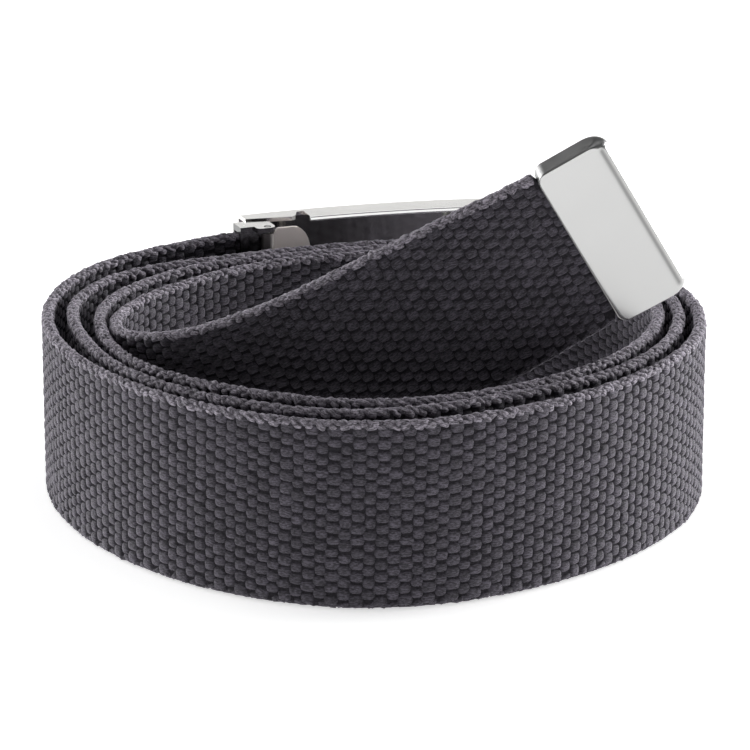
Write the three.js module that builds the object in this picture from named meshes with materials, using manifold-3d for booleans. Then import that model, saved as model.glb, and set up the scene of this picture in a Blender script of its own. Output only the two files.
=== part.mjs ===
// A canvas webbing belt rolled into a coil that stands on its edge.
// Millimetres, +Z up. The origin is on the floor under the middle of the box that holds the belt,
// +X to the right and -Y towards the front, where the free end rises across the coil.
import * as THREE from 'three';
import { mergeVertices } from 'three/addons/utils/BufferGeometryUtils.js';
import Module from 'manifold-3d';

const wasm = await Module();
wasm.setup();

// Webbing
const WEB_WIDTH = 38;
const WEB_THICKNESS = 2.8;
const WEB_EDGE_INSET = 0.8;
const WEB_STEP = 3.6;
const FINE_STEPS_PER_MM = 4;
const HEADING_REACH = 0.05;
const TIP_INSIDE_WIDTH = 35.2;

// The coil from above. A row is a bearing about the coil's centre in degrees, anticlockwise from
// +X, then the distance to the middle of the webbing on each turn, and the first turn's lift.
const COIL_ROWS = [
  { bearing: 90, outer: 0, second: 56.0, third: 52.2, inner: 48.5, lift: 0 },
  { bearing: 110, outer: 0, second: 53.6, third: 50.1, inner: 46.6, lift: 0 },
  { bearing: 131, outer: 65.5, second: 56.4, third: 52.8, inner: 46.6, lift: 1.5 },
  { bearing: 150, outer: 69.3, second: 62.6, third: 55.2, inner: 47.9, lift: 0.7 },
  { bearing: 170, outer: 68.7, second: 63.6, third: 57.0, inner: 51.7, lift: 0.1 },
  { bearing: 190, outer: 66.5, second: 60.9, third: 56.4, inner: 0, lift: 0 },
  { bearing: 215, outer: 65.3, second: 60.7, third: 56.3, inner: 0, lift: 0 },
  { bearing: 240, outer: 67.0, second: 61.3, third: 54.9, inner: 0, lift: 0 },
  { bearing: 270, outer: 69.4, second: 62.0, third: 56.0, inner: 0, lift: 0 },
  { bearing: 295, outer: 66.4, second: 57.8, third: 54.1, inner: 0, lift: 0 },
  { bearing: 320, outer: 64.9, second: 59.1, third: 54.3, inner: 0, lift: 0 },
  { bearing: 345, outer: 66.2, second: 61.3, third: 56.5, inner: 0, lift: 0 },
  { bearing: 370, outer: 67.5, second: 63.5, third: 59.5, inner: 0, lift: 0 },
  { bearing: 395, outer: 67.6, second: 63.6, third: 59.6, inner: 0, lift: 0 },
  { bearing: 420, outer: 65.0, second: 60.8, third: 56.6, inner: 0, lift: 0 },
];

// The free end after the inner turn: the middle of the webbing, and how far its top edge leans
// outward, in degrees. The last rows lie in one line, so that the rigid tip fits there.
const FREE_END_ROWS = [
  { x: -53.4, y: -3.5, z: 19.0, lean: 0 },
  { x: -51.2, y: -10.5, z: 19.3, lean: 1 },
  { x: -45.5, y: -16.5, z: 20.4, lean: 2 },
  { x: -36.5, y: -20.6, z: 22.3, lean: 3 },
  { x: -24, y: -24.0, z: 26.7, lean: 4 },
  { x: -8, y: -26.6, z: 34.3, lean: 5 },
  { x: 10, y: -27.8, z: 44.1, lean: 5.5 },
  { x: 26, y: -27.9, z: 52.7, lean: 8 },
  { x: 36, y: -27.6, z: 58.2, lean: 10.6 },
  { x: 44, y: -27.2, z: 62.7, lean: 11 },
  { x: 52, y: -26.8, z: 67.3, lean: 11 },
];

// End tip
const TIP_LENGTH = 15.8;
const TIP_WIDTH = 38;
const TIP_THICKNESS = 5.2;
const TIP_WALL = 0.8;
const TIP_CORNER_RADIUS = 2.4;
const TIP_LIP_RADIUS = 0.4;
const TIP_END_RADIUS = 2.45;
const TIP_END_GAP = 0.6;
const TIP_SHOULDER = 0.5;

// Buckle, in its own frame: u along the plate from the clamp end, depth in from its outer face
const PLATE_START = { x: -30.5, y: 64.1 };
const PLATE_START_YAW = 23;
const PLATE_BOW_RADIUS = 200;
const PLATE_LENGTH = 57;
const PLATE_HEIGHT = 42;
const PLATE_WALL = 0.9;
const FLANGE_DEPTH = 8.6;
const PLATE_CORNER_RADIUS = 1.8;
// Corners, as (u, depth), of the cut in each flange by the clamp: a shallow run, then a notch
const RELIEF = [[-1, 5], [10.4, 6.9], [11.5, 6.2], [12.8, 3.4], [14.4, 3.4], [14.2, 11], [-1, 11]];
const RELIEF_MIDDLE = 7;
const WEB_DEPTH = 7.9;
const WEB_CLAMPED = { end: 12.2, middle: 4.5 };
const JAW = { start: -3, end: 1.2, height: 41.2, thickness: 4.7, wall: 0.65, rail: 1.4 };
const EAR = { end: 4.7, from: 6.6, depth: 12.4, thickness: 1.1, overlap: 1, corner: 1, tipCorner: 1.4 };
const PIN = { u: 3, depth: 11.05, radius: 0.5, bore: 0.8 };
const KNUCKLE_RADIUS = 1.4;
const LEVER = { reach: 10.2, thickness: 0.9, gap: 0.4, shoulder: 0.6, cornerLength: 3.8, cornerHeight: 5.6 };
const ROLLER = { u: 50.5, depth: 5.2, radius: 2.2, gap: 0.3 };
const PIN_SIDES = 16;
const KNUCKLE_SIDES = 20;
const CORNER_STEPS = 6;
const PLATE_STATIONS = 16;

// Finish
const CANVAS = { color: 0x4a474e, roughness: 0.95, metalness: 0 };
const SATIN = { color: 0xd9d9d7, roughness: 0.35, metalness: 0.9 };
const NICKEL = { color: 0xc9c8c4, roughness: 0.22, metalness: 1 };
const BLACK_METAL = { color: 0x1d1d1f, roughness: 0.4, metalness: 0.8 };
const LEVER_METAL = { color: 0xb8aca6, roughness: 0.4, metalness: 0.8 };

const UP = new THREE.Vector3(0, 0, 1);
const radians = THREE.MathUtils.degToRad;

// Natural cubic spline through values at the given knots, as a function of the knot parameter
function naturalSpline(knots, values) {
  const last = knots.length - 1;
  const span = knots.slice(1).map((knot, i) => knot - knots[i]);
  const slope = span.map((width, i) => (values[i + 1] - values[i]) / width);
  const bend = new Array(last + 1).fill(0);
  const upper = new Array(last + 1).fill(0);
  for (let i = 1; i < last; i++) {
    const pivot = 2 * (span[i - 1] + span[i]) - span[i - 1] * upper[i - 1];
    upper[i] = span[i] / pivot;
    bend[i] = (6 * (slope[i] - slope[i - 1]) - span[i - 1] * bend[i - 1]) / pivot;
  }
  for (let i = last - 1; i > 0; i--) bend[i] -= upper[i] * bend[i + 1];
  return (t) => {
    let i = 0;
    while (i < last - 1 && t > knots[i + 1]) i++;
    const a = (knots[i + 1] - t) / span[i];
    const b = 1 - a;
    const cubic = ((a ** 3 - a) * bend[i] + (b ** 3 - b) * bend[i + 1]) * (span[i] ** 2 / 6);
    return a * values[i] + b * values[i + 1] + cubic;
  };
}

// A place in the buckle's frame, as position and heading in plan
function buckleFrame(u, depth) {
  const yaw = radians(PLATE_START_YAW) - u / PLATE_BOW_RADIUS;
  const along = new THREE.Vector3(Math.cos(yaw), Math.sin(yaw), 0);
  const inward = new THREE.Vector3(Math.sin(yaw), -Math.cos(yaw), 0);
  const startYaw = radians(PLATE_START_YAW);
  const outer = new THREE.Vector3(
    PLATE_START.x + PLATE_BOW_RADIUS * (Math.sin(startYaw) - Math.sin(yaw)),
    PLATE_START.y + PLATE_BOW_RADIUS * (Math.cos(yaw) - Math.cos(startYaw)),
    0,
  );
  return { point: outer.addScaledVector(inward, depth), along, inward };
}

// Points that the middle of the webbing passes through, from the clamp to the tip
function webbingRows() {
  const middle = PLATE_HEIGHT / 2;
  const rows = [WEB_CLAMPED.end, WEB_CLAMPED.middle, JAW.start].map((u) => {
    const { point } = buckleFrame(u, WEB_DEPTH);
    return { x: point.x, y: point.y, z: middle, lean: 0 };
  });
  for (const turn of ['outer', 'second', 'third', 'inner']) {
    for (const row of COIL_ROWS.filter((r) => r[turn] > 0)) {
      const bearing = radians(row.bearing);
      const lift = turn === 'outer' ? row.lift : 0;
      rows.push({
        x: row[turn] * Math.cos(bearing),
        y: row[turn] * Math.sin(bearing),
        z: WEB_WIDTH / 2 + lift,
        lean: 0,
      });
    }
  }
  return rows.concat(FREE_END_ROWS);
}

// Stations at even steps along the webbing: position, heading, side and width directions.
// Its lower edge never goes below the floor.
function webbingStations() {
  const rows = webbingRows();
  const knots = [0];
  for (let i = 1; i < rows.length; i++) {
    const a = rows[i - 1];
    const b = rows[i];
    knots.push(knots[i - 1] + Math.hypot(b.x - a.x, b.y - a.y, b.z - a.z));
  }
  const tracks = ['x', 'y', 'z', 'lean'].map((key) => naturalSpline(knots, rows.map((row) => row[key])));
  const resting = WEB_WIDTH / 2;
  const at = (t) => new THREE.Vector3(tracks[0](t), tracks[1](t), Math.max(tracks[2](t), resting));
  const total = knots[knots.length - 1];
  const fine = Math.ceil(total * FINE_STEPS_PER_MM);
  const lengths = [0];
  let before = at(0);
  for (let i = 1; i <= fine; i++) {
    const here = at((total * i) / fine);
    lengths.push(lengths[i - 1] + here.distanceTo(before));
    before = here;
  }
  const length = lengths[fine];
  const mouth = length - (TIP_LENGTH - TIP_WALL - TIP_END_GAP);
  const count = Math.round(mouth / WEB_STEP);
  const targets = [];
  for (let n = 0; n <= count; n++) targets.push((mouth * n) / count);
  targets.push(mouth + TIP_SHOULDER, (mouth + length) / 2, length);
  const stations = [];
  let i = 0;
  for (const target of targets) {
    while (i < fine - 1 && lengths[i + 1] < target) i++;
    const part = (target - lengths[i]) / (lengths[i + 1] - lengths[i]);
    const t = (total * (i + part)) / fine;
    const ahead = at(Math.min(t + HEADING_REACH, total));
    const heading = ahead.sub(at(Math.max(t - HEADING_REACH, 0))).normalize();
    const flat = heading.clone().cross(UP).normalize();
    const rise = flat.clone().cross(heading);
    const lean = radians(tracks[3](t));
    stations.push({
      inTip: target > mouth,
      point: at(t),
      heading,
      side: flat.clone().multiplyScalar(Math.cos(lean)).addScaledVector(rise, -Math.sin(lean)),
      across: rise.clone().multiplyScalar(Math.cos(lean)).addScaledVector(flat, Math.sin(lean)),
    });
  }
  return stations;
}

// Closed body through rings of points, with both ends capped by the ring's flat outline
function loft(rings, outline) {
  const size = rings[0].length;
  const positions = rings.flat().flatMap((point) => point.toArray());
  const faces = [];
  for (let r = 0; r < rings.length - 1; r++) {
    for (let i = 0; i < size; i++) {
      const a = r * size + i;
      const b = r * size + ((i + 1) % size);
      faces.push(a, b + size, b, a, a + size, b + size);
    }
  }
  const end = (rings.length - 1) * size;
  for (const [a, b, c] of THREE.ShapeUtils.triangulateShape(outline, [])) {
    faces.push(a, b, c);
    faces.push(end + a, end + c, end + b);
  }
  const geometry = new THREE.BufferGeometry();
  geometry.setAttribute('position', new THREE.Float32BufferAttribute(positions, 3));
  geometry.setIndex(faces);
  return geometry;
}

function solid(geometry) {
  const bare = geometry.clone();
  bare.deleteAttribute('normal');
  bare.deleteAttribute('uv');
  const merged = mergeVertices(bare, 1e-4);
  return new wasm.Manifold(new wasm.Mesh({
    numProp: 3,
    vertProperties: new Float32Array(merged.attributes.position.array),
    triVerts: new Uint32Array(merged.index.array),
  }));
}

function geometryOf(body) {
  const { vertProperties, triVerts } = body.getMesh();
  const geometry = new THREE.BufferGeometry();
  geometry.setAttribute('position', new THREE.Float32BufferAttribute(vertProperties, 3));
  geometry.setIndex(new THREE.Uint32BufferAttribute(triVerts, 1));
  return geometry;
}

// Box between two corners
function box(low, high) {
  const geometry = new THREE.BoxGeometry(high[0] - low[0], high[1] - low[1], high[2] - low[2]);
  geometry.translate((low[0] + high[0]) / 2, (low[1] + high[1]) / 2, (low[2] + high[2]) / 2);
  return solid(geometry);
}

// Upright cylinder
function post(x, y, bottom, top, radius, sides) {
  const geometry = new THREE.CylinderGeometry(radius, radius, top - bottom, sides);
  geometry.rotateX(Math.PI / 2);
  geometry.translate(x, y, (top + bottom) / 2);
  return solid(geometry);
}

// Outline with each corner cut by an arc of its own radius
function roundedOutline(corners, segments) {
  const points = [];
  corners.forEach((corner, n) => {
    const here = new THREE.Vector2(corner.x, corner.y);
    const radius = corner.radius || 0;
    if (radius === 0) {
      points.push(here);
      return;
    }
    const previous = corners[(n + corners.length - 1) % corners.length];
    const next = corners[(n + 1) % corners.length];
    const back = new THREE.Vector2(previous.x - corner.x, previous.y - corner.y).normalize();
    const ahead = new THREE.Vector2(next.x - corner.x, next.y - corner.y).normalize();
    const centre = here.clone().addScaledVector(back, radius).addScaledVector(ahead, radius);
    for (let i = 0; i <= segments; i++) {
      const turn = (Math.PI / 2) * (i / segments);
      points.push(centre.clone()
        .addScaledVector(ahead, -radius * Math.cos(turn))
        .addScaledVector(back, -radius * Math.sin(turn)));
    }
  });
  return points;
}

function prism(outline, depth) {
  return new THREE.ExtrudeGeometry(new THREE.Shape(outline), { depth, bevelEnabled: false });
}

function node(name, geometry, finish) {
  const mesh = new THREE.Mesh(geometry, new THREE.MeshStandardMaterial(finish));
  mesh.name = name;
  return mesh;
}

// Webbing: a flat strap with softened long edges, narrower where it sits in the tip
function buildWebbing(stations) {
  const half = WEB_THICKNESS / 2;
  const edge = half - WEB_EDGE_INSET;
  const section = (width) => {
    const top = width / 2;
    const shoulder = top - WEB_EDGE_INSET;
    return [
      [half, -shoulder], [half, shoulder], [edge, top], [-edge, top],
      [-half, shoulder], [-half, -shoulder], [-edge, -top], [edge, -top],
    ];
  };
  const rings = stations.map((station) => {
    return section(station.inTip ? TIP_INSIDE_WIDTH : WEB_WIDTH).map(([side, across]) => station.point.clone()
      .addScaledVector(station.side, side)
      .addScaledVector(station.across, across));
  });
  const outline = section(WEB_WIDTH).map(([x, y]) => new THREE.Vector2(x, y));
  return node('webbing', loft(rings, outline), CANVAS);
}

// Tip: a folded cap with a full round at its end and a pocket for the webbing.
// Its own axes: x along the strap from the mouth, y through it, z across it.
function buildTip(end) {
  const half = TIP_THICKNESS / 2;
  const profile = roundedOutline([
    { x: 0, y: half, radius: TIP_LIP_RADIUS },
    { x: 0, y: -half, radius: TIP_LIP_RADIUS },
    { x: TIP_LENGTH, y: -half, radius: TIP_END_RADIUS },
    { x: TIP_LENGTH, y: half, radius: TIP_END_RADIUS },
  ], 6);
  const side = prism(profile, TIP_WIDTH);
  side.translate(0, 0, -TIP_WIDTH / 2);
  const face = prism(roundedOutline([
    { x: 0, y: TIP_WIDTH / 2, radius: TIP_CORNER_RADIUS },
    { x: 0, y: -TIP_WIDTH / 2, radius: TIP_CORNER_RADIUS },
    { x: TIP_LENGTH, y: -TIP_WIDTH / 2, radius: TIP_CORNER_RADIUS },
    { x: TIP_LENGTH, y: TIP_WIDTH / 2, radius: TIP_CORNER_RADIUS },
  ], 5), TIP_THICKNESS);
  face.rotateX(Math.PI / 2);
  face.translate(0, half, 0);
  const pocketHalfWidth = TIP_WIDTH / 2 - TIP_WALL;
  const pocketHalfDepth = half - TIP_WALL;
  const pocket = box(
    [-1, -pocketHalfDepth, -pocketHalfWidth],
    [TIP_LENGTH - TIP_WALL, pocketHalfDepth, pocketHalfWidth],
  );
  const mesh = node('end_tip', geometryOf(solid(side).intersect(solid(face)).subtract(pocket)), SATIN);
  const outward = end.side.clone().negate();
  mesh.matrix.makeBasis(end.heading, outward, end.across);
  const mouth = TIP_WALL + TIP_END_GAP + TIP_SHOULDER - TIP_LENGTH;
  mesh.matrix.setPosition(end.point.clone().addScaledVector(end.heading, mouth));
  mesh.matrix.decompose(mesh.position, mesh.quaternion, mesh.scale);
  return mesh;
}

// Plate: a channel bowed along its length, with its flanges cut back and notched by the clamp
function buildPlate() {
  const section = roundedOutline([
    { x: FLANGE_DEPTH, y: 0 },
    { x: FLANGE_DEPTH, y: PLATE_WALL },
    { x: PLATE_WALL, y: PLATE_WALL },
    { x: PLATE_WALL, y: PLATE_HEIGHT - PLATE_WALL },
    { x: FLANGE_DEPTH, y: PLATE_HEIGHT - PLATE_WALL },
    { x: FLANGE_DEPTH, y: PLATE_HEIGHT },
    { x: 0, y: PLATE_HEIGHT, radius: PLATE_CORNER_RADIUS },
    { x: 0, y: 0, radius: PLATE_CORNER_RADIUS },
  ], 4);
  const rings = [];
  for (let n = 0; n <= PLATE_STATIONS; n++) {
    const u = (PLATE_LENGTH * n) / PLATE_STATIONS;
    rings.push(section.map(({ x, y }) => {
      const { point } = buckleFrame(u, x);
      return point.setZ(y);
    }));
  }
  let plate = solid(loft(rings, section));
  for (const bottom of [-1, PLATE_HEIGHT - PLATE_WALL - 1]) {
    plate = plate.subtract(reliefCut(bottom));
  }
  return node('buckle_plate', geometryOf(plate), NICKEL);
}

// Relief cut through one flange, square to the plate at the middle of the cut
function reliefCut(bottom) {
  const outline = RELIEF.map(([u, depth]) => new THREE.Vector2(u - RELIEF_MIDDLE, -depth));
  const geometry = prism(outline, PLATE_WALL + 2);
  geometry.translate(0, 0, bottom);
  const frame = buckleFrame(RELIEF_MIDDLE, 0);
  const matrix = new THREE.Matrix4().makeBasis(frame.along, frame.inward.clone().negate(), UP);
  matrix.setPosition(frame.point);
  geometry.applyMatrix4(matrix);
  return solid(geometry);
}

// The clamp's parts share one straight frame at the pin
function clampPlace(mesh) {
  const frame = buckleFrame(PIN.u, PIN.depth);
  mesh.position.copy(frame.point);
  mesh.rotation.z = Math.atan2(frame.along.y, frame.along.x);
  return mesh;
}

const jawBottom = (PLATE_HEIGHT - JAW.height) / 2;
const jawTop = jawBottom + JAW.height;

// Jaw: a sleeve round the webbing with an ear above and below for the pin.
// Clamp axes: x along the plate from the pin, y outward, z up from the floor.
function buildJaw() {
  const front = PIN.depth - WEB_DEPTH - JAW.thickness / 2;
  const back = front + JAW.thickness;
  const left = JAW.start - PIN.u;
  const right = JAW.end - PIN.u;
  let jaw = box([left, front, jawBottom], [right, back, jawTop]);
  const slot = box(
    [left - 1, front + JAW.wall, jawBottom + JAW.rail],
    [right + 1, back - JAW.wall, jawTop - JAW.rail],
  );
  jaw = jaw.subtract(slot);
  const earOutline = roundedOutline([
    { x: EAR.end - PIN.u, y: PIN.depth - EAR.from },
    { x: right - EAR.overlap, y: PIN.depth - EAR.from },
    { x: right - EAR.overlap, y: PIN.depth - EAR.depth, radius: EAR.corner },
    { x: EAR.end - PIN.u, y: PIN.depth - EAR.depth, radius: EAR.tipCorner },
  ], 3);
  for (const bottom of [jawBottom, jawTop - EAR.thickness]) {
    const ear = prism(earOutline, EAR.thickness);
    ear.translate(0, 0, bottom);
    const clear = box(
      [left - 1, front + JAW.wall, jawBottom + JAW.rail],
      [EAR.end, back - JAW.wall, jawTop - JAW.rail],
    );
    jaw = jaw.add(solid(ear).subtract(clear));
  }
  jaw = jaw.subtract(post(0, 0, jawBottom - 1, jawTop + 1, PIN.bore, PIN_SIDES));
  return clampPlace(node('clamp_jaw', geometryOf(jaw), BLACK_METAL));
}

function buildPin() {
  const body = post(0, 0, jawBottom, jawTop, PIN.radius, PIN_SIDES);
  return clampPlace(node('hinge_pin', geometryOf(body), NICKEL));
}

// Lever: a knuckle round the pin and a leaf that lies on the webbing's end
function buildLever() {
  const bottom = jawBottom + EAR.thickness + LEVER.gap;
  const top = jawTop - EAR.thickness - LEVER.gap;
  const back = PIN.depth - WEB_DEPTH - WEB_THICKNESS / 2 - LEVER.gap;
  const leafOutline = [];
  const clearOfEar = EAR.end - PIN.u + LEVER.gap;
  leafOutline.push(new THREE.Vector2(0, bottom));
  leafOutline.push(new THREE.Vector2(clearOfEar, bottom));
  leafOutline.push(new THREE.Vector2(clearOfEar + LEVER.shoulder, bottom - LEVER.shoulder));
  const arc = (centreHeight, sign, from, to) => {
    for (let i = 0; i <= CORNER_STEPS; i++) {
      const turn = from + ((to - from) * i) / CORNER_STEPS;
      leafOutline.push(new THREE.Vector2(
        LEVER.reach - LEVER.cornerLength + LEVER.cornerLength * Math.cos(turn),
        centreHeight + sign * LEVER.cornerHeight * Math.sin(turn),
      ));
    }
  };
  arc(bottom - LEVER.shoulder + LEVER.cornerHeight, -1, Math.PI / 2, 0);
  arc(top + LEVER.shoulder - LEVER.cornerHeight, 1, 0, Math.PI / 2);
  leafOutline.push(new THREE.Vector2(clearOfEar + LEVER.shoulder, top + LEVER.shoulder));
  leafOutline.push(new THREE.Vector2(clearOfEar, top));
  leafOutline.push(new THREE.Vector2(0, top));
  const leaf = prism(leafOutline, LEVER.thickness);
  leaf.rotateX(Math.PI / 2);
  leaf.translate(0, back, 0);
  const lever = solid(leaf)
    .add(post(0, 0, bottom, top, KNUCKLE_RADIUS, KNUCKLE_SIDES))
    .subtract(post(0, 0, bottom - 1, top + 1, PIN.bore, PIN_SIDES));
  return clampPlace(node('clamp_lever', geometryOf(lever), LEVER_METAL));
}

function buildRoller() {
  const { point } = buckleFrame(ROLLER.u, ROLLER.depth);
  const bottom = PLATE_WALL + ROLLER.gap;
  const body = post(point.x, point.y, bottom, PLATE_HEIGHT - bottom, ROLLER.radius, KNUCKLE_SIDES);
  return node('lock_roller', geometryOf(body), NICKEL);
}

const stations = webbingStations();
const belt = new THREE.Group();
belt.add(
  buildWebbing(stations),
  buildTip(stations[stations.length - 1]),
  buildPlate(),
  buildJaw(),
  buildLever(),
  buildPin(),
  buildRoller(),
);

const middle = new THREE.Box3().setFromObject(belt, true).getCenter(new THREE.Vector3());
belt.position.set(-middle.x, -middle.y, 0);
belt.updateMatrixWorld(true);

export default belt;
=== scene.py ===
# A canvas webbing belt rolled into a coil on its edge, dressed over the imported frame.
# Lengths are in millimetres, as in the part's source, and MM turns them into Blender's metres.
import math

import bmesh
import bpy
import numpy as np
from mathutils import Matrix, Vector


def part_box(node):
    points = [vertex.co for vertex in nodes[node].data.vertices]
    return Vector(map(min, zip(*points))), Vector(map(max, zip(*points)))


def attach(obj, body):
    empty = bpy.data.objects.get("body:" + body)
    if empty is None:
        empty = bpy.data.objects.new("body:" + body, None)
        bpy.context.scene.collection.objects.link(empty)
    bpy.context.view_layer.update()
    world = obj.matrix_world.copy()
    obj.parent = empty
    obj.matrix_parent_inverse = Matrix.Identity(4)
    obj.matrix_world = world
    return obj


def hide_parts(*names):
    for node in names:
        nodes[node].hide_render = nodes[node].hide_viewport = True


MM = 0.001

# The webbing's route from the clamp to the tip, in the coil's own frame: bearings in degrees,
# then for each turn its name, how many bearings it skips and its radii
COIL_BEARINGS = (90, 110, 131, 150, 170, 190, 215, 240, 270, 295, 320, 345, 370, 395, 420)
COIL_TURNS = (
    ("outer", 2, (65.5, 69.3, 68.7, 66.5, 65.3, 67.0, 69.4, 66.4, 64.9, 66.2, 67.5, 67.6, 65.0)),
    ("second", 0, (56.0, 53.6, 56.4, 62.6, 63.6, 60.9, 60.7, 61.3, 62.0, 57.8, 59.1, 61.3, 63.5, 63.6, 60.8)),
    ("third", 0, (52.2, 50.1, 52.8, 55.2, 57.0, 56.4, 56.3, 54.9, 56.0, 54.1, 54.3, 56.5, 59.5, 59.6, 56.6)),
    ("inner", 0, (48.5, 46.6, 46.6, 47.9, 51.7)),
)
# How far the start of the outer turn stands above the floor, near the clamp
OUTER_LIFT = (1.5, 0.7, 0.1)
# The free end: x, y, z and its lean in degrees
FREE_END = (
    (-53.4, -3.5, 19.0, 0),
    (-51.2, -10.5, 19.3, 1),
    (-45.5, -16.5, 20.4, 2),
    (-36.5, -20.6, 22.3, 3),
    (-24, -24.0, 26.7, 4),
    (-8, -26.6, 34.3, 5),
    (10, -27.8, 44.1, 5.5),
    (26, -27.9, 52.7, 8),
    (36, -27.6, 58.2, 10.6),
    (44, -27.2, 62.7, 11),
    (52, -26.8, 67.3, 11),
)
WEB_WIDTH = 38
WEB_THICKNESS = 2.8
FINE_STEPS_PER_MM = 4
HEADING_REACH = 0.05
BOX_SAMPLES = 2000

# Buckle, in its own frame: u along the plate from the clamp end, depth in from its outer face
PLATE_START = (-30.5, 64.1)
PLATE_START_YAW = 23
PLATE_BOW_RADIUS = 200
PLATE_HEIGHT = 42
WEB_DEPTH = 7.9
CLAMP_POINTS = (12.2, 4.5, -3)
PIN = {"u": 3, "depth": 11.05}
KNUCKLE_REACH = 1.5
OUTER_FACE_DEPTH = 4
FACES_OUT = 0.8
FACES_UP = 0.9
FLANGE_DEPTH = 8.6
# The sloped front edge of a flange: its ends along u, steps, and section as (ahead, rise)
EDGE_START = 14.4
EDGE_END = 56.8
EDGE_STEPS = 40
EDGE_SECTION = ((-0.5, 0.03), (-0.218, 0.03), (0.45, -0.53), (0.45, -0.6), (0.3, -0.9), (-0.5, -0.9))

# End tip
TIP_LENGTH = 15.8
TIP_WIDTH = 38
TIP_THICKNESS = 5.2
TIP_CORNER = 2.4
TIP_EDGE = 0.4
TIP_WALL = 0.8
TIP_END_GAP = 0.6
TIP_SHOULDER = 0.5
TIP_GROOVE = {"from_end": 1.75, "half_width": 0.5, "depth": 0.18, "end_inset": 1.2, "fade": 0.8}
TIP_STEPS = {"lip": 5, "face": 24, "fold": 61, "corner": 13, "flat": 17}
# A face of the tip gets the dark side metal, a painted dark reflection, when it is turned this far across the
# strap
DARK_SIDE_ABOVE = 0.3
DARK_SIDE_BELOW = -0.85

# Weave: the crowns' spacing along a row, the rows' spacing, the rows on each side of the middle
# and their slant. A crown's size is half its length, half its height and its rise.
PERIOD = 4.632
ROW = 1.2265
ROWS = 14
SKEW = 0.027
FLOAT_SIZES = ((1.5, 1.2, 0.44), (1.32, 1.17, 0.39))
FLOAT_SPREAD = 0.07
FLOAT_JITTER = {"along": 0.07, "across": 0.04}
# Where the weave stops: its first crown, its reach into the tip, and the outer rows that end
# at the tip's mouth
FIRST_CROWN = 1
FLOATS_INTO_TIP = 1
MOUTH_ROWS = {"before": 0.5, "half_width": 16}
# A crown: how square its profile is, how far its corners pull in, how deep its outline sinks as
# a share of its rise, its random turn in radians, and the step that sets its fibres apart
CROWN_POWERS = {"along": 2.8, "across": 2.4, "both": 0.8}
CROWN_CORNER = 0.24
CROWN_SKIRT = -0.3
CROWN_TILT = 0.045
LOT_STEP = 90

# Lengths along the webbing at which one piece of weave ends and the next begins
OUTER_END = 432
SECOND_END = 812
THIRD_END = 1150
RIM_BREAK = 600
PAST_TIP = 1400

# Long edges of the webbing: twisted yarns round a rounded rim, with angles in degrees and the
# gaps before the tip's mouth at which the yarns stop and the last one stands
RIM_ANGLES = (12, 50, 90, 130, 168)
RIM_CENTRE = 17.75
RIM_RADIUS = 0.78
RIM_SIZE = (1.1, 0.68, 0.62)
RIM_SPREAD = 0.14
RIM_TWIST = -13
RIM_TWIST_JITTER = 14
RIM_JITTER = {"along": 0.15, "turn": 6}
RIM_END = {"stop": 2, "last": 1.1}

# Core under the crowns: half its thickness and width, and its section in those units
CORE_HALF = 0.9
CORE_HALF_WIDTH = 17.9
CORE_SECTION = (
    (1, -1),
    (1, 1),
    (0.45, 1.02),
    (-0.45, 1.02),
    (-1, 1),
    (-1, -1),
    (-0.45, -1.02),
    (0.45, -1.02),
)
CORE_CAP = ((0, 1, 4, 5), (1, 2, 3, 4), (0, 5, 6, 7))
CORE_START = 0.3
CORE_END_GAP = 0.2
CORE_STATIONS = 520
CORE_WIDTH_IN_TIP = 0.94

# Finishes: noise scales per metre, then the fibre noise's scales per millimetre of a crown
METAL_CLOUD = 90.0
METAL_GRAIN = 900.0
SATIN_CLOUD = 120.0
CORE_SPECK = 2200.0
FIBRE_STRETCH = (1.4, 4.0, 1.0)
BEVELS = {
    "buckle_plate": 0.36,
    "clamp_jaw": 0.12,
    "clamp_lever": 0.12,
    "hinge_pin": 0.08,
    "lock_roller": 0.15,
}
BEVEL_SEGMENTS = 3
BEVEL_ANGLE = 35

# Floor, in metres, and light. A place in the sky is given by the components of a unit vector,
# and each sun by its name, bearing, height, strength and width, with the angles in degrees.
FLOOR_HALF = 3.0
FLOOR_DROP = 0.0002
FLOOR_GLOW = 0.6
ROOM = {"strength": 0.5, "low": 0.05, "high": 0.33}
RING = 0.03
ZENITH = {"strength": 1.05, "low": 0.82, "high": 0.92}
BACKDROP = {"strength": 0.8, "near": 0.35, "far": 0.8, "low": 0.3, "high": 0.48}
PANELS = {"strength": 7.0, "turn": math.radians(28), "near": 0.83, "far": 0.99, "low": 0.2, "high": 0.4}
SUNS = (("left_light", 149, 8, 1.8, 50), ("right_light", 30, 8, 3.8, 44))

# Camera, in metres
CAMERA_AT = (0.00039, -0.7973, 0.2792)
CAMERA_TO = (0.00039, 0.07408, 0)
CAMERA_LENS = 192.8
CAMERA_SENSOR = 36

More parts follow.
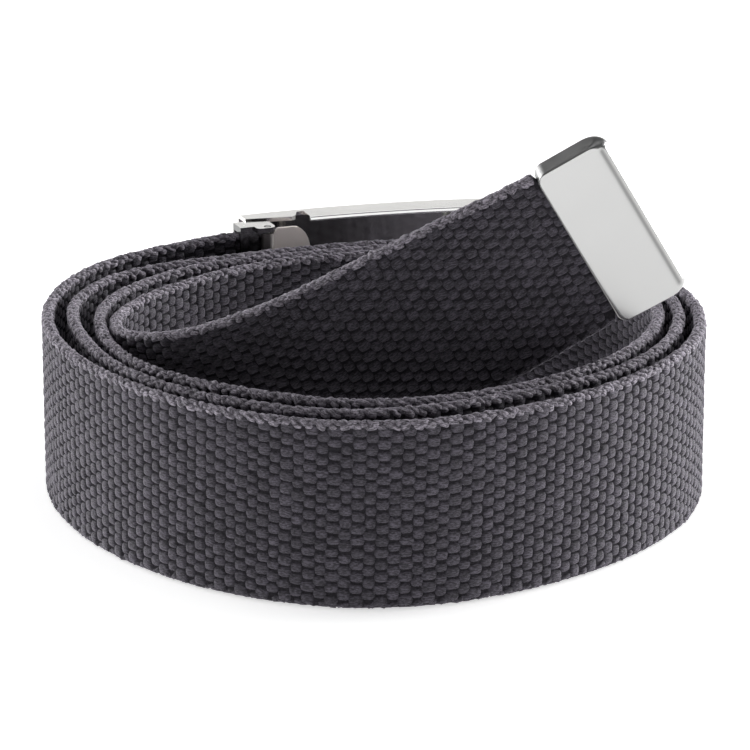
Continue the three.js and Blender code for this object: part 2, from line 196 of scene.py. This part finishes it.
rng = np.random.default_rng(11)
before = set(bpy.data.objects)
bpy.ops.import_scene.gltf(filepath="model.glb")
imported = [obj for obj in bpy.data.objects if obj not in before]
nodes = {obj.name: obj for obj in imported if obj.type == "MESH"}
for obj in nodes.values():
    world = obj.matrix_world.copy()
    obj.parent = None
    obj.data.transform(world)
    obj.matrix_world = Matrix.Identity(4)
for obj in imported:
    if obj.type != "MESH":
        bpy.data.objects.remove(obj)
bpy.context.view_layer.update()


def natural_spline(knots, values):
    """A natural cubic spline through the values at the knots, as a function of the parameter."""
    last = len(knots) - 1
    span = np.diff(knots)
    slope = np.diff(values) / span
    bend = np.zeros(last + 1)
    upper = np.zeros(last + 1)
    for i in range(1, last):
        pivot = 2 * (span[i - 1] + span[i]) - span[i - 1] * upper[i - 1]
        upper[i] = span[i] / pivot
        bend[i] = (6 * (slope[i] - slope[i - 1]) - span[i - 1] * bend[i - 1]) / pivot
    for i in range(last - 1, 0, -1):
        bend[i] -= upper[i] * bend[i + 1]

    def at(t):
        i = np.clip(np.searchsorted(knots, t, side="left") - 1, 0, last - 1)
        a = (knots[i + 1] - t) / span[i]
        b = 1 - a
        cubic = ((a**3 - a) * bend[i] + (b**3 - b) * bend[i + 1]) * span[i] ** 2 / 6
        return a * values[i] + b * values[i + 1] + cubic

    return at


def buckle_point(u, depth):
    """A place in the buckle's frame, in plan."""
    start = math.radians(PLATE_START_YAW)
    yaw = start - u / PLATE_BOW_RADIUS
    x = PLATE_START[0] + PLATE_BOW_RADIUS * (math.sin(start) - math.sin(yaw)) + math.sin(yaw) * depth
    y = PLATE_START[1] + PLATE_BOW_RADIUS * (math.cos(yaw) - math.cos(start)) - math.cos(yaw) * depth
    return x, y


def route_rows():
    """Points that the middle of the webbing passes through, each with its lean."""
    rows = [(*buckle_point(u, WEB_DEPTH), PLATE_HEIGHT / 2, 0) for u in CLAMP_POINTS]
    for turn, skipped, radii in COIL_TURNS:
        for n, radius in enumerate(radii):
            bearing = math.radians(COIL_BEARINGS[n + skipped])
            lift = OUTER_LIFT[n] if turn == "outer" and n < len(OUTER_LIFT) else 0
            rows.append((radius * math.cos(bearing), radius * math.sin(bearing), WEB_WIDTH / 2 + lift, 0))
    return np.array(rows + list(FREE_END), float)


class Route:
    """The webbing's middle line by arc length, with its heading, side and width directions."""

    def __init__(self):
        rows = route_rows()
        steps = np.linalg.norm(np.diff(rows[:, :3], axis=0), axis=1)
        knots = np.concatenate([[0], np.cumsum(steps)])
        self.tracks = [natural_spline(knots, rows[:, k]) for k in range(4)]
        self.total = knots[-1]
        self.fine = np.linspace(0, self.total, math.ceil(self.total * FINE_STEPS_PER_MM) + 1)
        run = np.linalg.norm(np.diff(self.points(self.fine), axis=0), axis=1)
        self.lengths = np.concatenate([[0], np.cumsum(run)])
        self.length = self.lengths[-1]
        self.mouth = self.length - (TIP_LENGTH - TIP_WALL - TIP_END_GAP)
        self.shift = np.zeros(3)

    def points(self, t):
        """Points at the spline's own parameter, with the webbing's lower edge never under the floor."""
        x, y, z = (track(t) for track in self.tracks[:3])
        return np.stack([x, y, np.maximum(z, WEB_WIDTH / 2)], axis=1)

    def frames(self, s):
        """Point, heading, side and width direction at each length along the webbing."""
        s = np.atleast_1d(np.asarray(s, float))
        t = np.interp(s, self.lengths, self.fine)
        ahead = self.points(np.minimum(t + HEADING_REACH, self.total))
        heading = ahead - self.points(np.maximum(t - HEADING_REACH, 0))
        heading /= np.linalg.norm(heading, axis=1)[:, None]
        flat = np.cross(heading, (0, 0, 1))
        flat /= np.linalg.norm(flat, axis=1)[:, None]
        rise = np.cross(flat, heading)
        lean = np.radians(self.tracks[3](t))[:, None]
        side = flat * np.cos(lean) - rise * np.sin(lean)
        across = rise * np.cos(lean) + flat * np.sin(lean)
        return self.points(t) + self.shift, heading, side, across

    def move_to_frame(self):
        """Shift in plan from the coil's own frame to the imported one, by the webbing's box."""
        low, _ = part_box("webbing")
        point, _, side, _ = self.frames(np.linspace(0, self.mouth, BOX_SAMPLES))
        half_thickness = WEB_THICKNESS / 2
        corner = (point - np.abs(side) * half_thickness).min(axis=0)
        self.shift = np.array([low[0] / MM - corner[0], low[1] / MM - corner[1], 0])


route = Route()
route.move_to_frame()


def make_mesh(name, points, faces, yarn=None, shade_tone=None, lot=None, smooth=True):
    """A mesh object from arrays in millimetres, with the weave's attributes where given."""
    mesh = bpy.data.meshes.new(name)
    mesh.vertices.add(len(points))
    mesh.vertices.foreach_set("co", (np.asarray(points) * MM).astype(np.float32).ravel())
    faces = np.asarray(faces)
    mesh.loops.add(faces.size)
    mesh.loops.foreach_set("vertex_index", faces.astype(np.int32).ravel())
    mesh.polygons.add(len(faces))
    mesh.polygons.foreach_set("loop_start", np.arange(len(faces), dtype=np.int32) * faces.shape[1])
    mesh.update(calc_edges=True)
    mesh.polygons.foreach_set("use_smooth", np.full(len(faces), smooth))
    if yarn is not None:
        layer = mesh.attributes.new("yarn", "FLOAT_VECTOR", "POINT")
        layer.data.foreach_set("vector", np.asarray(yarn, np.float32).ravel())
    for key, values in (("shade_tone", shade_tone), ("lot", lot)):
        if values is not None:
            layer = mesh.attributes.new(key, "FLOAT", "POINT")
            layer.data.foreach_set("value", np.asarray(values, np.float32).ravel())
    mesh.update()
    piece = bpy.data.objects.new(name, mesh)
    bpy.context.scene.collection.objects.link(piece)
    return piece


def ring_faces(count, size):
    """The quads between rings of points that follow one another."""
    faces = []
    for r in range(count - 1):
        for i in range(size):
            a, b = r * size + i, r * size + (i + 1) % size
            faces.append((a, a + size, b + size, b))
    return faces


def mirrored(*stops):
    """The stops with their mirror images before them."""
    return tuple(-stop for stop in reversed(stops)) + stops


def crown(stops_along, stops_across):
    """A barrel over a rounded rectangle: unit points with their height, and triangles."""
    points = []
    for x in stops_along:
        for y in stops_across:
            along = 1 - abs(x) ** CROWN_POWERS["along"]
            across = 1 - abs(y) ** CROWN_POWERS["across"]
            height = (across * along) ** CROWN_POWERS["both"]
            corner = 1 - CROWN_CORNER * (x * y) ** 2
            on_edge = max(abs(x), abs(y)) == 1
            points.append((x * corner, y * corner, CROWN_SKIRT if on_edge else height))
    faces = []
    size = len(stops_across)
    for i in range(len(stops_along) - 1):
        for j in range(size - 1):
            a = i * size + j
            faces += [(a, a + size, a + size + 1), (a, a + size + 1, a + 1)]
    return np.array(points), np.array(faces)


FINE_CROWN = crown(mirrored(0.36, 0.8, 1), mirrored(0.32, 0.76, 1))
COARSE_CROWN = crown(mirrored(0.7, 1), mirrored(0.6, 1))


def crowns(name, template, centre, along, up, out, size, spread):
    """One mesh of many crowns. along, up and out are unit vectors, and spread varies the size."""
    shape, faces = template
    count = len(centre)
    tilt = rng.normal(0, CROWN_TILT, count)[:, None]
    size = size * (1 + rng.normal(0, spread, (count, 3)))
    x_axis = along * np.cos(tilt) + up * np.sin(tilt)
    y_axis = up * np.cos(tilt) - along * np.sin(tilt)
    local = shape[None] * size[:, None]
    points = (
        centre[:, None]
        + local[..., :1] * x_axis[:, None]
        + local[..., 1:2] * y_axis[:, None]
        + local[..., 2:] * out[:, None]
    )
    lot = rng.random(count)
    yarn = local.copy()
    yarn[..., 2] = lot[:, None] * LOT_STEP
    # The crown's height, which the yarn colour turns into painted shade towards its base
    shade_tone = np.broadcast_to(np.clip(shape[:, 2], 0, 1), (count, len(shape)))
    lots = np.broadcast_to(lot[:, None], (count, len(shape)))
    all_faces = faces[None] + (np.arange(count) * len(shape))[:, None, None]
    return make_mesh(
        name,
        points.reshape(-1, 3),
        all_faces.reshape(-1, 3),
        yarn=yarn.reshape(-1, 3),
        shade_tone=shade_tone.ravel(),
        lot=lots.ravel(),
    )


def build_core(material):
    """The body of the webbing under the weave's crowns."""
    along = np.linspace(CORE_START, route.mouth, CORE_STATIONS)
    stops = np.concatenate([along, [route.mouth + TIP_SHOULDER, route.length - CORE_END_GAP]])
    point, _, side, across = route.frames(stops)
    section = [(s * CORE_HALF, w * CORE_HALF_WIDTH) for s, w in CORE_SECTION]
    rings = []
    for n, stop in enumerate(stops):
        width = CORE_WIDTH_IN_TIP if stop > route.mouth else 1
        rings.append([point[n] + side[n] * s + across[n] * w * width for s, w in section])
    size = len(section)
    faces = ring_faces(len(rings), size)
    for ring, order in ((0, 1), (len(rings) - 1, -1)):
        for quad in CORE_CAP:
            faces.append(tuple(ring * size + corner for corner in quad)[::order])
    piece = make_mesh("webbing_core", np.array(rings).reshape(-1, 3), faces, smooth=False)
    piece.data.materials.append(material)
    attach(piece, "belt")
    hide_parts("webbing")


def face_floats(name, face, start, end, template):
    """The crowns of one face of the webbing between two lengths."""
    s_all, t_all, sizes = [], [], []
    for row in range(-ROWS, ROWS + 1):
        t = row * ROW
        phase = 0.5 * ((row + (face < 0)) % 2)
        first = math.ceil((start - t * SKEW) / PERIOD - phase)
        last = math.floor((end - t * SKEW) / PERIOD - phase)
        for n in range(first, last + 1):
            s = (n + phase) * PERIOD + t * SKEW
            outside = s < FIRST_CROWN or s > route.mouth + FLOATS_INTO_TIP
            at_mouth = s > route.mouth - MOUTH_ROWS["before"] and abs(t) > MOUTH_ROWS["half_width"]
            if outside or at_mouth:
                continue
            s_all.append(s)
            t_all.append(t)
            sizes.append(FLOAT_SIZES[row % 2])
    s_all = np.array(s_all) + rng.normal(0, FLOAT_JITTER["along"], len(s_all))
    t_all = np.array(t_all) + rng.normal(0, FLOAT_JITTER["across"], len(t_all))
    point, heading, side, across = route.frames(s_all)
    centre = point + across * t_all[:, None] + side * face * CORE_HALF
    return crowns(
        name, template, centre, heading, across * face, side * face, np.array(sizes), spread=FLOAT_SPREAD
    )


def rim_strands(name, edge, start, end, template):
    """The twisted yarns round one long edge of the webbing."""
    parts = []
    pitch = PERIOD / 2
    for n, angle in enumerate(RIM_ANGLES):
        s = (np.arange(math.ceil(start / pitch), math.ceil(end / pitch)) + 0.5 * (n % 2)) * pitch
        s = s[(s > FIRST_CROWN) & (s < route.mouth - RIM_END["stop"])]
        s = s + rng.normal(0, RIM_JITTER["along"], len(s))
        if end > route.mouth:
            s = np.append(s, route.mouth - RIM_END["last"])
        turn = np.radians(angle + rng.normal(0, RIM_JITTER["turn"], len(s)))
        parts.append(np.stack([s, turn], axis=1))
    table = np.concatenate(parts)
    turn = table[:, 1:]
    point, heading, side, across = route.frames(table[:, 0])
    out = side * np.cos(turn) + across * edge * np.sin(turn)
    up = np.cross(out, heading)
    twist = np.radians(RIM_TWIST * edge + rng.normal(0, RIM_TWIST_JITTER, len(table)))[:, None]
    along = heading * np.cos(twist) + up * np.sin(twist)
    up = np.cross(out, along)
    centre = point + across * edge * RIM_CENTRE + out * RIM_RADIUS
    return crowns(name, template, centre, along, up, out, np.array(RIM_SIZE), spread=RIM_SPREAD)


class Tree:
    """A node material built line by line."""

    def __init__(self, name):
        self.material = bpy.data.materials.new(name)
        self.material.use_nodes = True
        self.nodes = self.material.node_tree.nodes
        self.links = self.material.node_tree.links
        self.shader = self.nodes["Principled BSDF"]

    def add(self, kind, inputs=None, **settings):
        made = self.nodes.new(kind)
        for key, value in settings.items():
            setattr(made, key, value)
        for key, value in (inputs or {}).items():
            if isinstance(value, bpy.types.NodeSocket):
                self.links.new(value, made.inputs[key])
            else:
                made.inputs[key].default_value = value
        return made

    def noise(self, place, scale, detail, roughness=0.5):
        inputs = {"Vector": place, "Scale": scale, "Detail": detail, "Roughness": roughness}
        return self.add("ShaderNodeTexNoise", inputs).outputs["Fac"]

    def ramp(self, factor, stops):
        made = self.add("ShaderNodeValToRGB", {"Fac": factor})
        band = made.color_ramp
        while len(band.elements) < len(stops):
            band.elements.new(0.5)
        for element, (place, colour) in zip(band.elements, stops):
            element.position = place
            element.color = (*colour, 1)
        return made.outputs["Color"]

    def multiply(self, first, second):
        """The product of two colours."""
        mix = self.add(
            "ShaderNodeMix", {0: 1.0, 6: first, 7: second}, data_type="RGBA", blend_type="MULTIPLY"
        )
        return mix.outputs[2]

    def bump(self, height, strength, distance):
        made = self.add("ShaderNodeBump", {"Height": height, "Strength": strength, "Distance": distance})
        self.join(made.outputs["Normal"], "Normal")

    def attribute(self, name, output="Fac"):
        return self.add("ShaderNodeAttribute", attribute_name=name).outputs[output]

    def object_place(self):
        return self.add("ShaderNodeTexCoord").outputs["Object"]

    def set(self, **values):
        for key, value in values.items():
            self.shader.inputs[key.replace("_", " ")].default_value = value

    def join(self, output, name):
        self.links.new(output, self.shader.inputs[name])


def yarn_material(name, crest, grain_low, grain_high, lift):
    """Spun yarn with painted shade at the base of each crown, and fibre streaks along it. lift is in metres.
    """
    tree = Tree(name)
    yarn = tree.attribute("yarn", "Vector")
    stretched = tree.add("ShaderNodeMapping", {"Vector": yarn, "Scale": FIBRE_STRETCH})
    streak = tree.noise(stretched.outputs["Vector"], 1.0, 5.0, 0.62)
    red, green, blue = crest
    # Painted shade: the colour darkens from the crest down to the base of each crown
    depth = tree.ramp(
        tree.attribute("shade_tone"),
        (
            (0, (red * 0.4, green * 0.39, blue * 0.42)),
            (0.5, (red * 0.8, green * 0.8, blue * 0.81)),
            (1, (red * 1.14, green * 1.14, blue * 1.14)),
        ),
    )
    vary = tree.ramp(tree.attribute("lot"), ((0, (0.8, 0.8, 0.81)), (1, (1.14, 1.13, 1.16))))
    grain = tree.ramp(streak, ((0.42, (grain_low,) * 3), (0.6, (grain_high,) * 3)))
    tree.join(tree.multiply(tree.multiply(depth, vary), grain), "Base Color")
    tree.bump(streak, 1.0, lift)
    tree.set(Roughness=0.7, Specular_IOR_Level=0.35, Sheen_Weight=0.66, Sheen_Roughness=0.4)
    tree.set(Sheen_Tint=(0.56, 0.525, 0.6, 1))
    return tree.material


def core_material():
    """The ground yarn between the crowns, coloured far darker than the crowns' yarn as painted shade in the
    gaps.
    """
    tree = Tree("canvas_core")
    speck = tree.noise(tree.object_place(), CORE_SPECK, 3.0)
    # Painted shade: these colours stand in for the shade in the gaps between the crowns
    colour = tree.ramp(speck, ((0.3, (0.016, 0.0145, 0.018)), (0.7, (0.036, 0.033, 0.040))))
    tree.join(colour, "Base Color")
    tree.bump(speck, 0.6, 0.0002)
    tree.set(Roughness=0.9, Specular_IOR_Level=0.2)
    return tree.material


def metal_material(name, low_colour, high_colour, roughness, metallic=1.0, ior=1.5):
    """Plated or painted metal with faint grain and uneven polish."""
    tree = Tree(name)
    place = tree.object_place()
    cloud = tree.noise(place, METAL_CLOUD, 3.0)
    grain = tree.noise(place, METAL_GRAIN, 5.0)
    tree.join(tree.ramp(cloud, ((0.3, low_colour), (0.7, high_colour))), "Base Color")
    polish = {"Value": grain, "From Min": 0.3, "From Max": 0.7}
    polish.update({"To Min": roughness * 0.85, "To Max": roughness * 1.2})
    tree.join(tree.add("ShaderNodeMapRange", polish).outputs["Result"], "Roughness")
    tree.bump(grain, 0.2, 0.000005)
    tree.set(Metallic=metallic, IOR=ior)
    return tree.material


def satin_material():
    """Satin plate with painted shade along the pressed line."""
    tree = Tree("satin_plate")
    cloud = tree.noise(tree.object_place(), SATIN_CLOUD, 4.0)
    plate = tree.ramp(cloud, ((0.3, (0.54, 0.54, 0.536)), (0.7, (0.553, 0.553, 0.549))))
    # Painted shade: the plate's colour is darkened along the pressed line
    shade = tree.ramp(tree.attribute("shade_tone"), ((0, (1, 1, 1)), (1, (0.45, 0.45, 0.45))))
    tree.join(tree.multiply(plate, shade), "Base Color")
    tree.set(Metallic=1.0, Roughness=0.24)
    return tree.material


def tip_outline(z):
    """The tip's outline across its thickness at one station of its width, round from its lip."""
    over = max(0, abs(z) - (TIP_WIDTH / 2 - TIP_CORNER))
    cut = TIP_CORNER - math.sqrt(max(0, TIP_CORNER**2 - over**2))
    rounding = max(0, abs(z) - (TIP_WIDTH / 2 - TIP_EDGE))
    half = TIP_THICKNESS / 2
    reach = half - TIP_EDGE + math.sqrt(max(0, TIP_EDGE**2 - rounding**2))
    quarter = np.radians(np.linspace(0, 90, TIP_STEPS["lip"]))
    lip_x = cut + TIP_EDGE * (1 - np.sin(quarter))
    lip = np.stack([lip_x, reach - TIP_EDGE * (1 - np.cos(quarter))], axis=1)[::-1]
    centre = TIP_LENGTH - cut - half
    face_x = np.linspace(cut + TIP_EDGE, centre, TIP_STEPS["face"])[1:-1]
    face = np.stack([face_x, np.full(len(face_x), reach)], axis=1)
    turn = np.radians(np.linspace(0, 180, TIP_STEPS["fold"]))
    fold = np.stack([centre + half * np.sin(turn), reach * np.cos(turn)], axis=1)
    outline = np.concatenate([lip, face, fold, face[::-1] * (1, -1), lip[::-1] * (1, -1)])
    away = (outline[:, 0] - (TIP_LENGTH - TIP_GROOVE["from_end"])) / TIP_GROOVE["half_width"]
    inside = TIP_WIDTH / 2 - TIP_GROOVE["end_inset"] - abs(z)
    fade = min(1, max(0, inside / TIP_GROOVE["fade"]))
    groove = np.exp(-away * away) * fade * (outline[:, 1] > 0)
    outline[:, 1] -= TIP_GROOVE["depth"] * groove
    return outline, groove


def build_tip(face_material, side_material):
    """The folded end tip: a closed loft across its width, with a pressed line before the fold."""
    inner = TIP_WIDTH / 2 - TIP_CORNER
    rounded = inner + TIP_CORNER * np.sin(np.radians(np.linspace(0, 90, TIP_STEPS["corner"])))
    flat = np.linspace(-inner, inner, TIP_STEPS["flat"])[1:-1]
    rings, shade = [], []
    for z in np.concatenate([-rounded[::-1], flat, rounded]):
        outline, groove = tip_outline(z)
        rings.append(np.column_stack([outline, np.full(len(outline), z)]))
        # The pressed line's weight, which the satin plate turns into painted shade
        shade.append(groove)
    count, size = len(rings), len(rings[0])
    local = np.concatenate(rings)
    point, heading, side, across = (v[0] for v in route.frames([route.length]))
    start = TIP_WALL + TIP_END_GAP + TIP_SHOULDER - TIP_LENGTH
    points = point + heading * (local[:, :1] + start) + side * local[:, 1:2] + across * local[:, 2:]
    piece = make_mesh("folded_tip", points, ring_faces(count, size), shade_tone=np.concatenate(shade))
    mesh = piece.data
    ends = bmesh.new()
    ends.from_mesh(mesh)
    ends.verts.ensure_lookup_table()
    ends.faces.new([ends.verts[i] for i in range(size)])
    ends.faces.new([ends.verts[(count - 1) * size + i] for i in reversed(range(size))])
    bmesh.ops.recalc_face_normals(ends, faces=ends.faces)
    sideways = Vector(across)
    for face in ends.faces:
        turned = face.normal.dot(sideways)
        face.material_index = int(turned > DARK_SIDE_ABOVE or turned < DARK_SIDE_BELOW)
    ends.to_mesh(mesh)
    ends.free()
    mesh.materials.append(face_material)
    mesh.materials.append(side_material)
    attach(piece, "belt")
    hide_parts("end_tip")


def finish_node(name, material):
    """Give a carried-over node its material and soft edges."""
    node = nodes[name]
    node.data.materials.clear()
    node.data.materials.append(material)
    bevel = node.modifiers.new("soft_edges", "BEVEL")
    bevel.width = BEVELS[name] * MM
    bevel.segments = BEVEL_SEGMENTS
    bevel.limit_method = "ANGLE"
    bevel.angle_limit = math.radians(BEVEL_ANGLE)
    bevel.harden_normals = True


def second_finish(name, material, chosen):
    """Give the node's faces that the test picks, by world centre and normal, a second finish."""
    node = nodes[name]
    node.data.materials.append(material)
    turn = node.matrix_world.to_3x3()
    for face in node.data.polygons:
        if chosen(node.matrix_world @ face.center, turn @ face.normal):
            face.material_index = 1


def on_outer_face(centre, normal):
    return normal.y > FACES_OUT and centre.y > buckle_point(0, OUTER_FACE_DEPTH)[1] * MM


def on_lit_top(centre, normal):
    return normal.z > FACES_UP


def on_knuckle(centre, normal):
    x, y = buckle_point(PIN["u"], PIN["depth"])
    pin_axis = (x + route.shift[0], y + route.shift[1])
    return math.dist((centre.x / MM, centre.y / MM), pin_axis) < KNUCKLE_REACH


def flange_edge(name, height, way, material):
    """The sloped front edge of one flange of the plate. way is 1 for the upper one and -1 for the lower."""
    rows = []
    for u in np.linspace(EDGE_START, EDGE_END, EDGE_STEPS):
        for ahead, rise in EDGE_SECTION:
            x, y = buckle_point(u, FLANGE_DEPTH + ahead)
            rows.append((x, y, height + way * rise))
    points = np.array(rows) + route.shift
    faces = [quad[::way] for quad in ring_faces(EDGE_STEPS, len(EDGE_SECTION))]
    piece = make_mesh(name, points, faces, smooth=False)
    piece.data.materials.append(material)
    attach(piece, "belt")


def build_floor():
    """A wide pale floor that also lights the belt from below."""
    mesh = bpy.data.meshes.new("floor")
    corners = [(x * FLOOR_HALF, y * FLOOR_HALF, 0) for x, y in ((-1, -1), (1, -1), (1, 1), (-1, 1))]
    mesh.from_pydata(corners, [], [(0, 1, 2, 3)])
    floor = bpy.data.objects.new("floor", mesh)
    floor.location.z = -FLOOR_DROP
    bpy.context.scene.collection.objects.link(floor)
    pale = Tree("pale_floor")
    pale.set(Roughness=0.9, Specular_IOR_Level=0.1, Base_Color=(0.93, 0.93, 0.93, 1))
    pale.set(Emission_Color=(1, 1, 1, 1), Emission_Strength=FLOOR_GLOW)
    mesh.materials.append(pale.material)


def build_sky():
    """Low room glow, a dark ring above it, a soft box overhead, a lit backdrop and side panels."""
    world = bpy.data.worlds.new("studio")
    world.use_nodes = True
    sky = world.node_tree
    heading = sky.nodes.new("ShaderNodeTexCoord")
    parts = sky.nodes.new("ShaderNodeSeparateXYZ")
    sky.links.new(heading.outputs["Generated"], parts.inputs["Vector"])
    x, y, z = (parts.outputs[axis] for axis in "XYZ")

    def step(source, low, high, to_low, to_high):
        made = sky.nodes.new("ShaderNodeMapRange")
        made.interpolation_type = "SMOOTHSTEP"
        sky.links.new(source, made.inputs["Value"])
        limits = {"From Min": low, "From Max": high, "To Min": to_low, "To Max": to_high}
        for key, value in limits.items():
            made.inputs[key].default_value = value
        return made.outputs["Result"]

    def compute(kind, a, b=0):
        made = sky.nodes.new("ShaderNodeMath")
        made.operation = kind
        for n, value in enumerate((a, b)):
            if isinstance(value, bpy.types.NodeSocket):
                sky.links.new(value, made.inputs[n])
            else:
                made.inputs[n].default_value = value
        return made.outputs["Value"]

    room = step(z, ROOM["low"], ROOM["high"], ROOM["strength"], RING)
    zenith = step(z, ZENITH["low"], ZENITH["high"], 0, ZENITH["strength"])
    behind = step(y, BACKDROP["near"], BACKDROP["far"], 0, BACKDROP["strength"])
    glow = compute("MULTIPLY", behind, step(z, BACKDROP["low"], BACKDROP["high"], 1, 0))
    sideways = compute("MULTIPLY", compute("ABSOLUTE", x), math.cos(PANELS["turn"]))
    sideways = compute("ADD", sideways, compute("MULTIPLY", y, math.sin(PANELS["turn"])))
    panels = step(sideways, PANELS["near"], PANELS["far"], 0, PANELS["strength"])
    panels = compute("MULTIPLY", panels, step(z, PANELS["low"], PANELS["high"], 1, 0))
    strength = compute("ADD", compute("ADD", room, zenith), compute("ADD", glow, panels))
    sky.links.new(strength, sky.nodes["Background"].inputs["Strength"])
    sky.nodes["Background"].inputs["Color"].default_value = (1, 1, 1, 1)
    bpy.context.scene.world = world


def build_sun(name, azimuth, elevation, strength, softness):
    """A soft sun that shines from that bearing, anticlockwise from +X."""
    light = bpy.data.lights.new(name, "SUN")
    light.energy = strength
    light.angle = math.radians(softness)
    lamp = bpy.data.objects.new(name, light)
    turn, lift = math.radians(azimuth), math.radians(elevation)
    source = Vector((math.cos(turn) * math.cos(lift), math.sin(turn) * math.cos(lift), math.sin(lift)))
    lamp.rotation_euler = source.to_track_quat("Z", "Y").to_euler()
    lamp.location = source
    bpy.context.scene.collection.objects.link(lamp)


def build_camera():
    """The photo's view."""
    lens = bpy.data.cameras.new("camera")
    lens.lens = CAMERA_LENS
    lens.sensor_width = CAMERA_SENSOR
    camera = bpy.data.objects.new("camera", lens)
    camera.location = CAMERA_AT
    toward = Vector(CAMERA_TO) - Vector(CAMERA_AT)
    camera.rotation_euler = toward.to_track_quat("-Z", "Y").to_euler()
    bpy.context.scene.collection.objects.link(camera)
    bpy.context.scene.camera = camera


# The webbing: its core, then the weave on both faces and round both edges
canvas = yarn_material("canvas_yarn", (0.059, 0.0535, 0.066), 0.42, 1.8, 0.00022)
# Painted light: the upper rims get a copy of the canvas yarn several times lighter, standing in for the light
# they catch from above
lit_rim_canvas = yarn_material("canvas_rim_painted_highlight", (0.25, 0.231, 0.262), 0.38, 1.75, 0.0003)
build_core(core_material())
WEAVE = (
    ("weave_outer_front", 1, 0, OUTER_END, FINE_CROWN),
    ("weave_outer_back", -1, 0, OUTER_END, COARSE_CROWN),
    ("weave_second_front", 1, OUTER_END, SECOND_END, COARSE_CROWN),
    ("weave_second_back", -1, OUTER_END, SECOND_END, COARSE_CROWN),
    ("weave_third_front", 1, SECOND_END, THIRD_END, COARSE_CROWN),
    ("weave_third_back", -1, SECOND_END, THIRD_END, FINE_CROWN),
    ("weave_free_end_front", 1, THIRD_END, PAST_TIP, FINE_CROWN),
    ("weave_free_end_back", -1, THIRD_END, PAST_TIP, FINE_CROWN),
)
RIMS = (
    ("weave_rim_upper_outer", 1, 0, RIM_BREAK, FINE_CROWN, lit_rim_canvas),
    ("weave_rim_upper_inner", 1, RIM_BREAK, PAST_TIP, FINE_CROWN, lit_rim_canvas),
    ("weave_rim_lower", -1, 0, PAST_TIP, COARSE_CROWN, canvas),
)
for name, face, start, end, template in WEAVE:
    piece = face_floats(name, face, start, end, template)
    piece.data.materials.append(canvas)
    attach(piece, "belt")
for name, edge, start, end, template, material in RIMS:
    rim = rim_strands(name, edge, start, end, template)
    rim.data.materials.append(material)
    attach(rim, "belt")

# The metal: the tip, the buckle's nodes and the front edges of the plate
build_tip(
    satin_material(),
    # Painted reflection: the tip's sides get a far darker metal than its faces, standing in for the dark they
    # reflect
    metal_material("tip_side_painted_reflection", (0.2, 0.2, 0.2), (0.27, 0.27, 0.27), 0.42),
)
polished = metal_material("polished_plate", (0.74, 0.73, 0.71), (0.82, 0.81, 0.79), 0.16)
warm_low = (0.97, 0.885, 0.85)
warm_high = (1.0, 0.92, 0.885)
black_low = (0.012, 0.012, 0.0125)
black_high = (0.02, 0.02, 0.0205)
FINISHES = {
    "buckle_plate": polished,
    "clamp_jaw": metal_material("black_plate", black_low, black_high, 0.12, metallic=0.0, ior=2.3),
    "clamp_lever": metal_material("warm_plate", warm_low, warm_high, 0.6, metallic=0.0),
    "hinge_pin": metal_material("pin_plate", (0.5, 0.5, 0.49), (0.6, 0.6, 0.59), 0.3),
    "lock_roller": metal_material("roller_plate", (0.5, 0.5, 0.49), (0.6, 0.6, 0.59), 0.3),
}
for name, material in FINISHES.items():
    finish_node(name, material)
brushed = metal_material("brushed_plate", (0.36, 0.355, 0.35), (0.39, 0.385, 0.38), 0.34)
# Painted shade: the lever's knuckle gets a far darker copy of its pale finish, standing in for the shade
# round the hinge
shaded_knuckle = metal_material("knuckle_painted_shade", (0.2, 0.19, 0.185), (0.27, 0.255, 0.25), 0.5)
second_finish("buckle_plate", brushed, on_outer_face)
# Painted reflection: the black jaw's top faces get the bright polished plate, standing in for the backdrop
# they reflect
second_finish("clamp_jaw", polished, on_lit_top)
second_finish("clamp_lever", shaded_knuckle, on_knuckle)
# Partly painted highlight: the flanges' rounded front edges shine by their real reflections, and their metal
# is also lighter than the rest of the plate's
edge_plate_and_highlight = metal_material("edge_plate_and_highlight", (0.9, 0.9, 0.89), (0.94, 0.94, 0.93), 0.2)
flange_edge("flange_edge_top", PLATE_HEIGHT, 1, edge_plate_and_highlight)
flange_edge("flange_edge_bottom", 0, -1, edge_plate_and_highlight)

# Floor, light and camera
build_floor()
build_sky()
for sun in SUNS:
    build_sun(*sun)
build_camera()
bpy.context.scene.view_settings.view_transform = "Standard"
